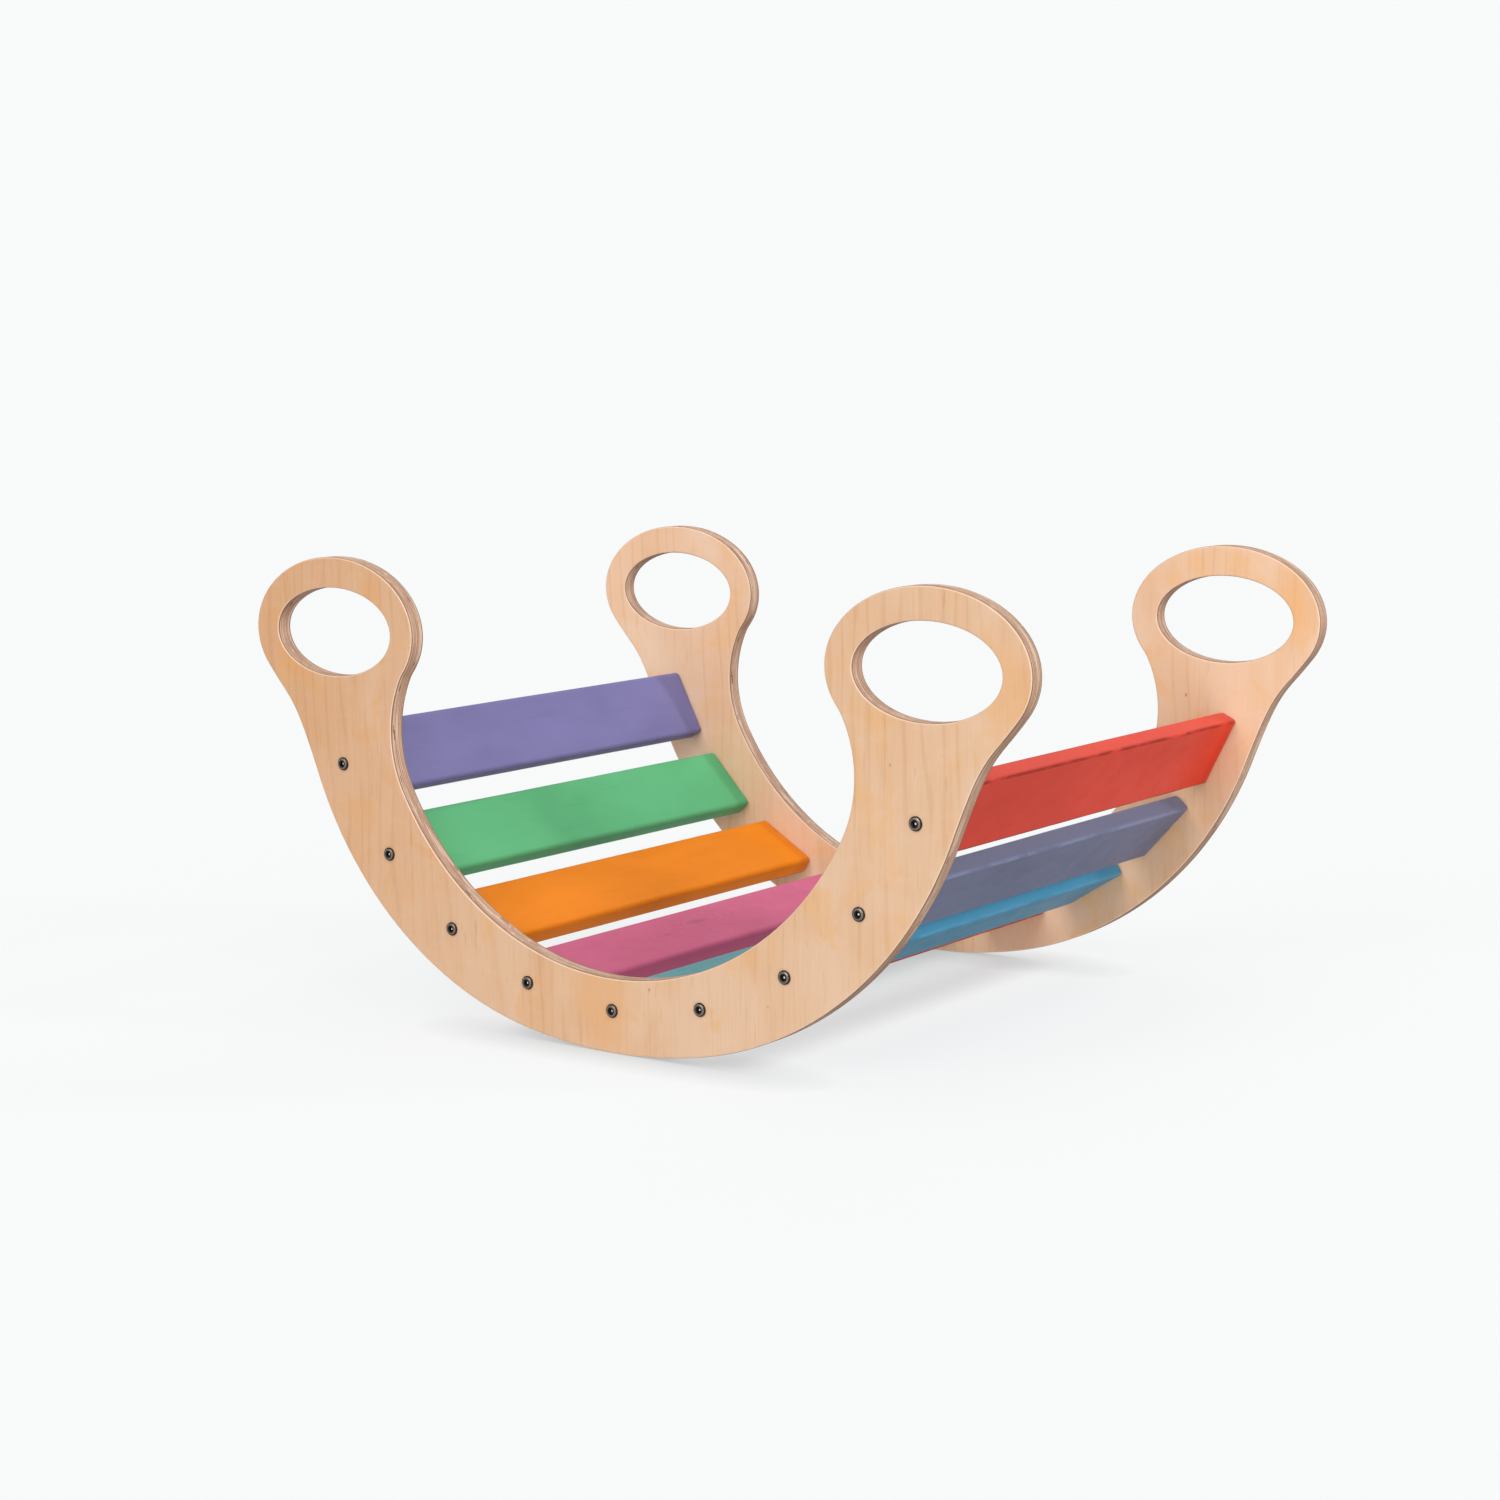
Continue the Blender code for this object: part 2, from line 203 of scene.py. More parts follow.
def inset(points, distance):
    """Moves a loop into the material on its left when distance is positive."""
    area = sum(a.x * b.y - b.x * a.y for a, b in zip(points, points[1:] + points[:1]))
    sign = 1.0 if area > 0 else -1.0
    moved = []
    for i, p in enumerate(points):
        before = (p - points[i - 1]).normalized()
        after = (points[(i + 1) % len(points)] - p).normalized()
        normal = Vector((-(before.y + after.y), before.x + after.x)).normalized()
        lean = max(normal.dot(Vector((-before.y, before.x))), 0.5)
        moved.append(p + normal * (sign * distance / lean))
    return moved


# ------------------------------------------------------------------ mesh building
def ring_of(bm, points, y):
    return [bm.verts.new((p.x, y, p.y)) for p in points]


def bridge(bm, first, second):
    for i in range(len(first)):
        j = (i + 1) % len(first)
        bm.faces.new((first[i], first[j], second[j], second[i]))


def cap(bm, loops):
    edges = []
    for loop in loops:
        for a, b in zip(loop, loop[1:] + loop[:1]):
            edges.append(bm.edges.get((a, b)) or bm.edges.new((a, b)))
    bmesh.ops.triangle_fill(bm, edges=edges, use_beauty=True, use_dissolve=False)


def object_from(bm, name, smooth_angle=35.0):
    bmesh.ops.recalc_face_normals(bm, faces=bm.faces)
    mesh = bpy.data.meshes.new(name)
    bm.to_mesh(mesh)
    bm.free()
    mesh.shade_smooth()
    mesh.set_sharp_from_angle(angle=math.radians(smooth_angle))
    obj = bpy.data.objects.new(name, mesh)
    bpy.context.scene.collection.objects.link(obj)
    return obj


def rim_rings(y0, y1, radius, steps, flat):
    """(y, inset) from one face to the other over two quarter-round rims.

    The first and last pair lie flat on the faces, so the big faces shade flat.
    """
    quarter = []
    for i in range(steps + 1):
        angle = math.pi / 2 * i / steps
        quarter.append((y0 + radius * (1 - math.sin(angle)), radius * (1 - math.cos(angle))))
    first = [(y0, radius + flat)] + list(reversed(quarter))
    return first + [(y0 + y1 - y, step) for y, step in reversed(first)]


def slat_angle(index):
    return SLAT_PITCH * (index - (SLAT_COUNT - 1) / 2)


def slat_frame(index):
    angle = slat_angle(index)
    return CIRCLE_R * math.sin(angle), CIRCLE_Z - CIRCLE_R * math.cos(angle), angle


def panel(node):
    """One plywood side, with quarter-round rims and the bores the screws pass through."""
    low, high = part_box(node)
    bm = bmesh.new()
    near, far = [], []
    for number, loop in enumerate(panel_loops()):
        grow = 1.0 if number == 0 else -1.0
        rings = []
        for y, step in rim_rings(low.y, high.y, PANEL_ROUND, 6, 0.6 * MM):
            rings.append(ring_of(bm, inset(loop, grow * step), y))
        for a, b in zip(rings, rings[1:]):
            bridge(bm, a, b)
        near.append(rings[0])
        far.append(rings[-1])
    for index in range(SLAT_COUNT):
        x, z, _ = slat_frame(index)
        bore = arc(Vector((x, z)), BORE_RADIUS, 0.0, 2 * math.pi * 31 / 32, 31)
        a, b = ring_of(bm, bore, low.y), ring_of(bm, bore, high.y)
        bridge(bm, a, b)
        near.append(a)
        far.append(b)
    cap(bm, near)
    cap(bm, far)
    return object_from(bm, "panel_" + node.rsplit("_", 1)[1])


def slat(index, node):
    """A planed board with softly rounded edges, very slightly uneven as painted wood is."""
    low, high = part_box(node)
    x, z, angle = slat_frame(index)
    half = (high.y - low.y) / 2
    corners = ((1, -1, UNDER_ROUND), (1, 1, SEAT_ROUND),
               (-1, 1, SEAT_ROUND), (-1, -1, UNDER_ROUND))
    arcs = []
    for number, (sx, sz, radius) in enumerate(corners):
        centre = Vector((sx * (SLAT_WIDTH / 2 - radius), sz * (SLAT_THICK / 2 - radius)))
        start = DOWN + number * math.pi / 2
        arcs.append(arc(centre, radius, start, start + math.pi / 2, 8))
    loop = []
    for number, bend in enumerate(arcs):
        loop += bend
        stop = arcs[(number + 1) % 4][0]
        cuts = 5 if number in (0, 2) else 14
        first = loop[-1]
        loop += [first.lerp(stop, i / cuts) for i in range(1, cuts)]
    rings = []
    rims = rim_rings(-half, half, END_ROUND, 4, 0.3 * MM)
    middle = len(rims) // 2
    lengthwise = 60
    spans = rims[:middle]
    for i in range(1, lengthwise):
        spans.append((spans[middle - 1][0] * (1 - 2 * i / lengthwise), 0.0))
    spans += rims[middle:]
    bm = bmesh.new()
    for y, step in spans:
        rings.append(ring_of(bm, inset(loop, step), y))
    for a, b in zip(rings, rings[1:]):
        bridge(bm, a, b)
    cap(bm, [rings[0]])
    cap(bm, [rings[-1]])
    bm.normal_update()
    dent_depth, fade_length = 0.35 * MM, 30 * MM
    for v in bm.verts:
        fade = min(1.0, max(0.0, (half - END_ROUND - abs(v.co.y)) / fade_length))
        seed = Vector((v.co.x * 14 + index * 7.3, v.co.y * 9, v.co.z * 14))
        dent = 0.5 * (noise.noise(seed) - 0.6)
        v.co -= v.normal * (dent_depth * fade * abs(dent))
    obj = object_from(bm, node.replace("slat_", "board_"))
    obj.matrix_world = Matrix.Translation((x, 0.0, z)) @ Matrix.Rotation(-angle, 4, "Y")
    return obj


def screw(index, side, node):
    """Wide low head with a hexagon socket, a plain neck and a coarse wood thread."""
    low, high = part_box(node)
    x, z, _ = slat_frame(index)
    outer = low.y if side == "front" else high.y
    sides = 48
    rim, flat, crown, neck = 7.8 * MM, 2.5 * MM, 1.8 * MM, 3.4 * MM
    socket_floor, head_height, tip = 2.7 * MM, 3.0 * MM, 53.4 * MM
    # hexagon socket, from its floor outward: share of its half width, depth in mm, how hexagonal
    socket = ((0.55, 2.5, 1), (1.0, 2.3, 1), (1.0, 0.22, 1), (1.05, 0.05, 1), (1.13, 0.0, 0.7))
    rings = [(flat * share, depth * MM, hexed) for share, depth, hexed in socket]
    rings.append((neck, 0.0, 0.0))
    crown_steps = 10
    for i in range(1, crown_steps + 1):
        angle = math.pi / 2 * i / crown_steps
        radius = neck + (rim - neck) * math.sin(angle)
        rings.append((radius, crown * (1 - math.cos(angle)), 0.0))
    rings.append((rim, 2.75 * MM, 0.0))
    rings.append((rim - 0.2 * MM, head_height, 0.0))
    rings.append((neck, head_height, 0.0))
    rings.append((neck, 20.0 * MM, 0.0))
    bm = bmesh.new()
    spin = index * 0.7 + (0.4 if side == "back" else 0.0)
    built = []
    for radius, depth, hexed in rings:
        loop = []
        for i in range(sides):
            angle = 2 * math.pi * i / sides
            fold = (angle + math.pi / 6) % (math.pi / 3) - math.pi / 6
            reach = radius * (1 + hexed * (1 / math.cos(fold) - 1))
            turn = angle + spin
            loop.append(bm.verts.new((reach * math.cos(turn), depth, reach * math.sin(turn))))
        built.append(loop)
    root, crest, pitch = 2.5 * MM, 3.5 * MM, 3.0 * MM
    start, stop = 21.0 * MM, 51.0 * MM
    steps = int((stop - start) / (pitch / 8))
    for k in range(steps + 1):
        depth = start + (stop - start) * k / steps
        taper = min(1.0, (tip - depth) / (9.0 * MM))
        ease = min(1.0, k / 8)
        loop = []
        for i in range(sides):
            turn = 2 * math.pi * i / sides
            phase = (depth / pitch + turn / (2 * math.pi)) % 1.0
            ridge = max(0.0, 1.0 - abs(phase - 0.5) * 5.0)
            radius = (root + (crest - root) * ridge * ease) * taper
            angle = turn + spin
            loop.append(bm.verts.new((radius * math.cos(angle), depth, radius * math.sin(angle))))
        built.append(loop)
    for a, b in zip(built, built[1:]):
        bridge(bm, a, b)
    floor = bm.verts.new((0.0, socket_floor, 0.0))
    point = bm.verts.new((0.0, tip, 0.0))
    for i in range(sides):
        j = (i + 1) % sides
        bm.faces.new((floor, built[0][j], built[0][i]))
        bm.faces.new((point, built[-1][i], built[-1][j]))
    obj = object_from(bm, node.replace("screw_", "bolt_"))
    turn = 0.0 if side == "front" else math.pi
    obj.matrix_world = Matrix.Translation((x, outer, z)) @ Matrix.Rotation(turn, 4, "Z")
    return obj


def dowel(node):
    """Fluted beech dowel with chamfered ends."""
    low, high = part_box(node)
    radius, sides, flutes = 4.0 * MM, 96, 16
    half = (high.y - low.y) / 2
    bm = bmesh.new()
    loops = []
    for y, scale in ((-half, 0.72), (-half + 0.9 * MM, 0.94), (-half + 1.3 * MM, 1.0),
                     (half - 1.3 * MM, 1.0), (half - 0.9 * MM, 0.94), (half, 0.72)):
        loop = []
        for i in range(sides):
            angle = 2 * math.pi * i / sides
            flute = 0.3 * MM * max(0.0, math.cos(angle * flutes)) ** 2
            reach = (radius - flute) * scale
            loop.append(bm.verts.new((reach * math.cos(angle), y, reach * math.sin(angle))))
        loops.append(loop)
    for a, b in zip(loops, loops[1:]):
        bridge(bm, a, b)
    bm.faces.new(loops[0])
    bm.faces.new(loops[-1])
    obj = object_from(bm, node.replace("dowel_", "peg_"), 40.0)
    obj.matrix_world = Matrix.Translation((low + high) / 2)
    return obj


# ------------------------------------------------------------------ materials
class Graph:
    """A small helper that wires shader nodes with short calls."""

    def __init__(self, name):
        self.mat = bpy.data.materials.new(name)
        self.mat.use_nodes = True
        self.tree = self.mat.node_tree
        self.shader = self.tree.nodes["Principled BSDF"]
        self.coord = self.node("ShaderNodeTexCoord")

    def node(self, kind, inputs=(), **settings):
        made = self.tree.nodes.new(kind)
        for key, value in settings.items():
            setattr(made, key, value)
        for key, value in dict(inputs).items():
            self.set(made.inputs[key], value)
        return made

    def set(self, socket, value):
        if isinstance(value, bpy.types.NodeSocket):
            self.tree.links.new(value, socket)
        elif isinstance(value, tuple) and len(value) == 3 and socket.type == "RGBA":
            socket.default_value = (*value, 1.0)
        else:
            socket.default_value = value

    def math(self, operation, a, b=0.0, c=0.0):
        return self.node("ShaderNodeMath", {0: a, 1: b, 2: c}, operation=operation).outputs[0]

    def remap(self, value, low, high, out_low, out_high, **settings):
        keys = {"Value": value, "From Min": low, "From Max": high,
                "To Min": out_low, "To Max": out_high}
        return self.node("ShaderNodeMapRange", keys, **settings).outputs[0]

    def step(self, value, low, high):
        """Smooth rise from 0 to 1 as value goes from low to high."""
        return self.remap(value, low, high, 0.0, 1.0, interpolation_type="SMOOTHSTEP")

    def stretch(self, vector, scale, offset=(0.0, 0.0, 0.0)):
        made = self.node("ShaderNodeMapping", {"Vector": vector, "Scale": scale, "Location": offset})
        return made.outputs[0]

    def noise(self, vector, scale, detail=3.0, rough=0.5, distortion=0.0):
        keys = {"Vector": vector, "Scale": scale, "Detail": detail,
                "Roughness": rough, "Distortion": distortion}
        return self.node("ShaderNodeTexNoise", keys).outputs[0]

    def noise_by_layer(self, vector, layer, scale, detail):
        """Noise that is different in each layer."""
        keys = {"Vector": vector, "W": layer, "Scale": scale, "Detail": detail}
        return self.node("ShaderNodeTexNoise", keys, noise_dimensions="4D").outputs[0]

    def distance(self, vector):
        made = self.node("ShaderNodeVectorMath", {0: vector}, operation="LENGTH")
        return made.outputs["Value"]

    def mix(self, factor, a, b, blend="MIX"):
        made = self.node("ShaderNodeMix", data_type="RGBA", blend_type=blend)
        self.set(made.inputs[0], factor)
        self.set(made.inputs[6], a)
        self.set(made.inputs[7], b)
        return made.outputs[2]

    def cover(self, base, mask, strength, colour):
        """Lays colour over base where mask is high."""
        return self.mix(self.math("MULTIPLY", mask, strength), base, colour)

    def axes(self, vector):
        return self.node("ShaderNodeSeparateXYZ", {0: vector}).outputs

    def bump(self, height, strength, distance):
        keys = {"Height": height, "Strength": strength, "Distance": distance}
        return self.node("ShaderNodeBump", keys).outputs[0]


def birch(name, y0, thickness, seed, knots, panel_light):
    """Birch plywood: rotary-cut face veneer with upright grain, and layered edges."""
    g = Graph(name)
    here = g.coord.outputs["Object"]
    shift = (seed, 0.0, seed * 0.37)
    x, y, _ = g.axes(here)
    figure = FIGURE[name]

    # face veneer: soft warm patches, fine upright lines, a few growth arcs, pores
    patch = g.noise(g.stretch(here, (1.0, 0.2, 0.55), shift), 9.0, 2.0, 0.5, 0.4)
    cloud = g.noise(g.stretch(here, (1.0, 0.2, 0.30), shift), 26.0, 3.0, 0.55, 0.5)
    band = g.noise(g.stretch(here, (1.0, 0.2, 0.045), shift), 120.0, 2.0, 0.55, 0.25)
    line = g.noise(g.stretch(here, (1.0, 0.2, 0.030), shift), 420.0, 3.0, 0.6, 0.15)
    dash = g.noise(g.stretch(here, (1.0, 0.2, 0.085), shift), 260.0, 1.0, 0.5)
    pore = g.noise(g.stretch(here, (1.0, 0.2, 0.22), shift), 1300.0, 1.0, 0.5)
    ripple = g.noise(g.stretch(here, (0.35, 0.2, 1.0), shift), 70.0, 2.0, 0.5)
    growth = g.node("ShaderNodeTexWave", {
        "Vector": g.stretch(here, (1.0, 0.2, 0.16), shift), "Scale": 16.0, "Distortion": 11.0,
        "Detail": 2.0, "Detail Scale": 0.9, "Detail Roughness": 0.5,
    }, wave_type="BANDS", bands_direction="X").outputs["Fac"]
    pale, warm, honey = (0.582, 0.388, 0.255), (0.563, 0.343, 0.199), (0.536, 0.299, 0.151)
    veneer = g.mix(g.step(patch, 0.32, 0.68), pale, warm)
    veneer = g.cover(veneer, g.step(cloud, 0.46, 0.74), 0.40, honey)
    amber = g.noise(g.stretch(here, (1.0, 0.2, 0.75), shift), 13.0, 3.0, 0.6, 1.3)
    veneer = g.cover(veneer, g.step(amber, 0.52, 0.70), 0.62, (0.590, 0.325, 0.140))
    veneer = g.cover(veneer, g.step(band, 0.50, 0.76), 0.12 * figure, (0.490, 0.289, 0.166))
    veneer = g.cover(veneer, g.step(band, 0.48, 0.28), 0.15 * figure, (0.613, 0.435, 0.307))
    veneer = g.cover(veneer, g.step(line, 0.52, 0.76), 0.36 * figure, (0.430, 0.240, 0.132))
    arcs = g.math("MULTIPLY", g.step(growth, 0.80, 1.0), g.step(patch, 0.40, 0.62))
    veneer = g.cover(veneer, arcs, 0.34, (0.467, 0.241, 0.112))
    veneer = g.cover(veneer, g.step(dash, 0.68, 0.78), 0.50 * figure, (0.429, 0.210, 0.096))
    veneer = g.cover(veneer, g.step(pore, 0.66, 0.80), 0.26, (0.329, 0.167, 0.088))
    veneer = g.cover(veneer, g.step(ripple, 0.50, 0.75), 0.10, (0.628, 0.466, 0.343))
    for kx, kz, size in AMBER[name]:
        away = g.distance(g.stretch(here, (1.0, 0.0, 0.8), (-kx, 0.0, -kz * 0.8)))
        away = g.math("ADD", away, g.remap(cloud, 0.3, 0.7, -0.35 * size * MM, 0.35 * size * MM))
        soft = g.step(away, size * MM, size * 0.3 * MM)
        veneer = g.cover(veneer, soft, 0.55, (0.590, 0.300, 0.118))
    # painted light: the veneer ramps lighter towards the panel's right end, and the back panel is paler
    painted_light_drift = g.mix(g.remap(x, -0.45, 0.45, 0.0, 1.0), *panel_light)
    veneer = g.mix(1.0, veneer, painted_light_drift, "MULTIPLY")
    for kx, kz, size in knots:
        away = g.distance(g.stretch(here, (1.0, 0.0, 0.55), (-kx, 0.0, -kz * 0.55)))
        away = g.math("ADD", away, g.remap(dash, 0.3, 0.7, -0.3 * size * MM, 0.3 * size * MM))
        around = g.step(away, size * 3.0 * MM, size * MM)
        veneer = g.cover(veneer, around, 0.30, (0.368, 0.178, 0.084))
        heart = g.step(away, size * MM, size * 0.5 * MM)
        veneer = g.cover(veneer, heart, 0.85, (0.105, 0.052, 0.028))

    # layered edge: plies across the thickness, long grain and end grain by turns
    nx, ny, nz = g.axes(g.coord.outputs["Normal"])
    wobble = g.noise(g.stretch(here, (1.0, 0.0, 1.0)), 16.0, 2.0)
    depth = g.math("MULTIPLY", g.math("SUBTRACT", y, y0), PLY_COUNT / thickness)
    inner = g.math("SUBTRACT", depth, g.remap(wobble, 0.3, 0.7, -0.22, 0.22))
    layer = g.math("FLOOR", inner)
    within = g.math("FRACT", inner)
    odd = g.math("PINGPONG", layer, 1.0)
    across = g.math("ABSOLUTE", nx)
    upright = g.math("ABSOLUTE", nz)
    even = g.math("SUBTRACT", 1.0, odd)
    facing = g.math("ADD", g.math("MULTIPLY", odd, across), g.math("MULTIPLY", even, upright))
    grain_end = g.step(facing, 0.20, 0.80)
    tone = g.noise_by_layer(here, g.math("MULTIPLY", layer, 7.7), 11.0, 2.0)
    fibre = g.noise(g.stretch(here, (1.0, 2.2, 1.0)), 520.0, 3.0, 0.65)
    blot = g.noise(g.stretch(here, (1.0, 1.6, 1.0)), 110.0, 3.0, 0.6)
    long_grain = g.mix(g.step(tone, 0.34, 0.66), (0.519, 0.315, 0.203), (0.648, 0.423, 0.293))
    end_grain = g.mix(g.step(tone, 0.34, 0.66), (0.278, 0.152, 0.094), (0.435, 0.258, 0.169))
    edge = g.mix(grain_end, long_grain, end_grain)
    edge = g.cover(edge, g.step(fibre, 0.46, 0.72), 0.42, (0.232, 0.123, 0.076))
    edge = g.cover(edge, g.step(fibre, 0.46, 0.28), 0.30, (0.742, 0.524, 0.381))
    edge = g.cover(edge, g.step(blot, 0.56, 0.74), 0.34, (0.278, 0.156, 0.101))
    streak = g.noise(g.stretch(here, (0.05, 1.0, 0.05), shift), 300.0, 2.0, 0.55)
    edge = g.cover(edge, g.step(streak, 0.52, 0.66), 0.44, (0.242, 0.134, 0.086))
    edge = g.cover(edge, g.step(streak, 0.48, 0.34), 0.50, (0.756, 0.593, 0.449))
    # pale dust spots on upward-facing edges, partly painted light falling from above
    dust_and_top_light = g.math("MULTIPLY", g.step(blot, 0.44, 0.30), g.step(nz, 0.2, 0.9))
    edge = g.cover(edge, dust_and_top_light, 0.36, (0.763, 0.617, 0.514))
    seam = g.math("ABSOLUTE", g.math("SUBTRACT", within, 0.5))
    glue = g.step(seam, 0.41, 0.49)
    edge = g.cover(edge, glue, 0.50, (0.115, 0.064, 0.043))
    flat = g.stretch(here, (1.0, 0.0, 1.0))
    void = g.noise_by_layer(flat, g.math("MULTIPLY", layer, 3.1), 34.0, 1.0)
    off_middle = g.math("SUBTRACT", depth, PLY_COUNT / 2)
    core = g.math("COMPARE", off_middle, 0.0, PLY_COUNT / 2 - 2.2)
    # core voids painted nearly black, the painted shade inside the gap
    gap = g.math("MULTIPLY", g.step(void, 0.690, 0.710), core)
    gap = g.math("MULTIPLY", gap, g.step(seam, 0.46, 0.36))
    edge = g.cover(edge, gap, 0.9, (0.050, 0.028, 0.018))

    # the outer veneers wrap the rim, with a painted highlight where it starts to turn and painted shade
    # where it turns furthest, and a dark glue line behind them
    rim = g.math("SUBTRACT", PLY_COUNT / 2, g.math("ABSOLUTE", off_middle))
    skin = g.step(rim, 1.18, 1.00)
    lean = g.math("ABSOLUTE", ny)
    # painted highlight on the rim just where it turns from the face
    rim_lit_and_shaded = g.cover(veneer, g.step(lean, 0.99, 0.86), 0.85, (0.720, 0.500, 0.365))
    # painted shade where the rim turns furthest from the face
    rim_painted_shade = g.math("MULTIPLY", g.step(lean, 0.74, 0.52), 0.78)
    rim_lit_and_shaded = g.mix(rim_painted_shade, rim_lit_and_shaded, (0.200, 0.112, 0.072))
    line_one = g.math("COMPARE", rim, 1.40, 0.40)
    edge = g.cover(edge, line_one, 0.82, (0.120, 0.064, 0.042))
    colour = g.mix(skin, edge, rim_lit_and_shaded)
    g.set(g.shader.inputs["Base Color"], colour)

    on_edge = g.math("SUBTRACT", 1.0, skin)
    rough = g.remap(line, 0.3, 0.7, 0.42, 0.54)
    rough = g.math("ADD", rough, g.math("MULTIPLY", on_edge, 0.18))
    g.set(g.shader.inputs["Roughness"], rough)
    relief = g.math("ADD", g.math("MULTIPLY", pore, -0.6), g.math("MULTIPLY", line, -0.5))
    relief = g.math("MULTIPLY", relief, skin)
    rut = g.math("ADD", g.math("MULTIPLY", glue, -0.5), g.math("MULTIPLY", fibre, -0.6))
    rut = g.math("ADD", rut, g.math("MULTIPLY", gap, -2.0))
    rut = g.math("ADD", rut, g.math("MULTIPLY", line_one, -0.8))
    rut = g.math("MULTIPLY", rut, on_edge)
    height = g.math("ADD", relief, rut)
    g.set(g.shader.inputs["Normal"], g.bump(height, 0.35, 0.25 * MM))
    g.shader.inputs["Specular IOR Level"].default_value = 0.4
    return g.mat


def paint(name, colour, seed, knots, crest_painted_light):
    """Matt paint on wood: faint grain, small dents, knots showing through, worn crests; painted shade
    towards the near end and on lower crests, painted highlights on some crests and narrow sides.
    """
    g = Graph(name)
    here = g.coord.outputs["Object"]
    shift = (seed * 1.7, seed * 0.9, seed)
    x, y, z = g.axes(here)

    def shade(scale, lift=0.0):
        return tuple(min(1.0, c * scale + lift) for c in colour)

    cloud = g.noise(g.stretch(here, (1.0, 0.5, 1.0), shift), 8.0, 3.0, 0.55, 0.3)
    grain = g.noise(g.stretch(here, (1.0, 0.045, 1.0), shift), 150.0, 4.0, 0.6, 0.5)
    brush = g.noise(g.stretch(here, (1.0, 0.020, 1.0), shift), 480.0, 2.0, 0.6)
    mottle = g.noise(g.stretch(here, (1.0, 0.6, 1.0), shift), 60.0, 3.0, 0.6)
    speck = g.noise(g.stretch(here, (1.0, 0.7, 1.0), shift), 330.0, 2.0, 0.5)
    tint = g.mix(g.step(cloud, 0.28, 0.74), shade(0.90), shade(1.04, 0.006))
    # painted shade: the colour ramps from darker at the board's near end to lighter at its far end, with
    # cloudy variation
    near_end_shade = g.math("ADD", g.remap(y, -0.32, 0.32, 0.0, 1.0), g.remap(cloud, 0.3, 0.7, -0.12, 0.12))
    tint = g.mix(1.0, tint, g.mix(near_end_shade, *NEAR_END_SHADE_RAMP), "MULTIPLY")
    if name in FAR_END_TINT:
        tint = g.mix(g.step(y, 0.20, 0.30), tint, g.mix(1.0, tint, FAR_END_TINT[name], "MULTIPLY"))
    tint = g.cover(tint, g.step(grain, 0.52, 0.80), 0.22, shade(0.70))
    tint = g.cover(tint, g.step(brush, 0.54, 0.80), 0.12, shade(0.90, 0.03))
    tint = g.cover(tint, g.step(mottle, 0.56, 0.80), 0.14, shade(0.78, 0.01))
    dent = g.step(speck, 0.735, 0.775)
    tint = g.cover(tint, dent, 0.45, shade(0.42))

    # knots in the wood below: a dull spot with growth lines bending round it
    swirl = None
    for kx, ky, size in knots:
        flat = g.stretch(here, (1.0, 0.28, 0.0), (-kx, -ky * 0.28, 0.0))
        away = g.distance(flat)
        away = g.math("ADD", away, g.remap(mottle, 0.3, 0.7, -0.25 * size * MM, 0.25 * size * MM))
        spot = g.step(away, size * MM, size * 0.35 * MM)
        tint = g.cover(tint, spot, 0.42, shade(0.52, 0.01))
        turns = g.math("SINE", g.math("MULTIPLY", away, 2 * math.pi / (4.4 * MM)))
        near = g.math("MULTIPLY", g.step(away, size * 4.2 * MM, size * 1.5 * MM), g.step(turns, 0.2, 1.0))
        tint = g.cover(tint, near, 0.30, shade(0.62, 0.01))
        swirl = near if swirl is None else g.math("MAXIMUM", swirl, near)

    # how far a point is round one of the board's long or short edges
    def over(axis, half, radius):
        flat = g.math("SUBTRACT", g.math("ABSOLUTE", axis), half - radius)
        return g.math("MAXIMUM", g.math("DIVIDE", flat, radius), 0.0)

    half_width = SLAT_WIDTH / 2
    half_thick = SLAT_THICK / 2
    upper = g.math("MINIMUM", over(x, half_width, SEAT_ROUND), over(z, half_thick, SEAT_ROUND))
    upper = g.math("MULTIPLY", upper, g.math("GREATER_THAN", z, 0.0))
    under = g.math("MINIMUM", over(x, half_width, UNDER_ROUND), over(z, half_thick, UNDER_ROUND))
    under = g.math("MULTIPLY", under, g.math("LESS_THAN", z, 0.0))
    wide = g.math("MAXIMUM", over(x, half_width, END_ROUND), over(z, half_thick, END_ROUND))
    ends = g.math("MINIMUM", over(y, SLAT_HALF_LENGTH, END_ROUND), wide)
    corner = g.math("MAXIMUM", g.math("MAXIMUM", upper, under), ends)
    crest = g.step(corner, 0.25, 0.60)
    wear = g.noise(g.stretch(here, (1.0, 0.30, 1.0), shift), 70.0, 4.0, 0.65)
    # painted shade on the worn lower crest of most boards, a painted highlight there on the sky and slate
    # boards
    worn_crest_light_mask = g.math("MULTIPLY", g.step(under, 0.02, 0.22), g.step(wear, 0.36, 0.56))
    tint = g.cover(tint, worn_crest_light_mask, 0.75, shade(*crest_painted_light))
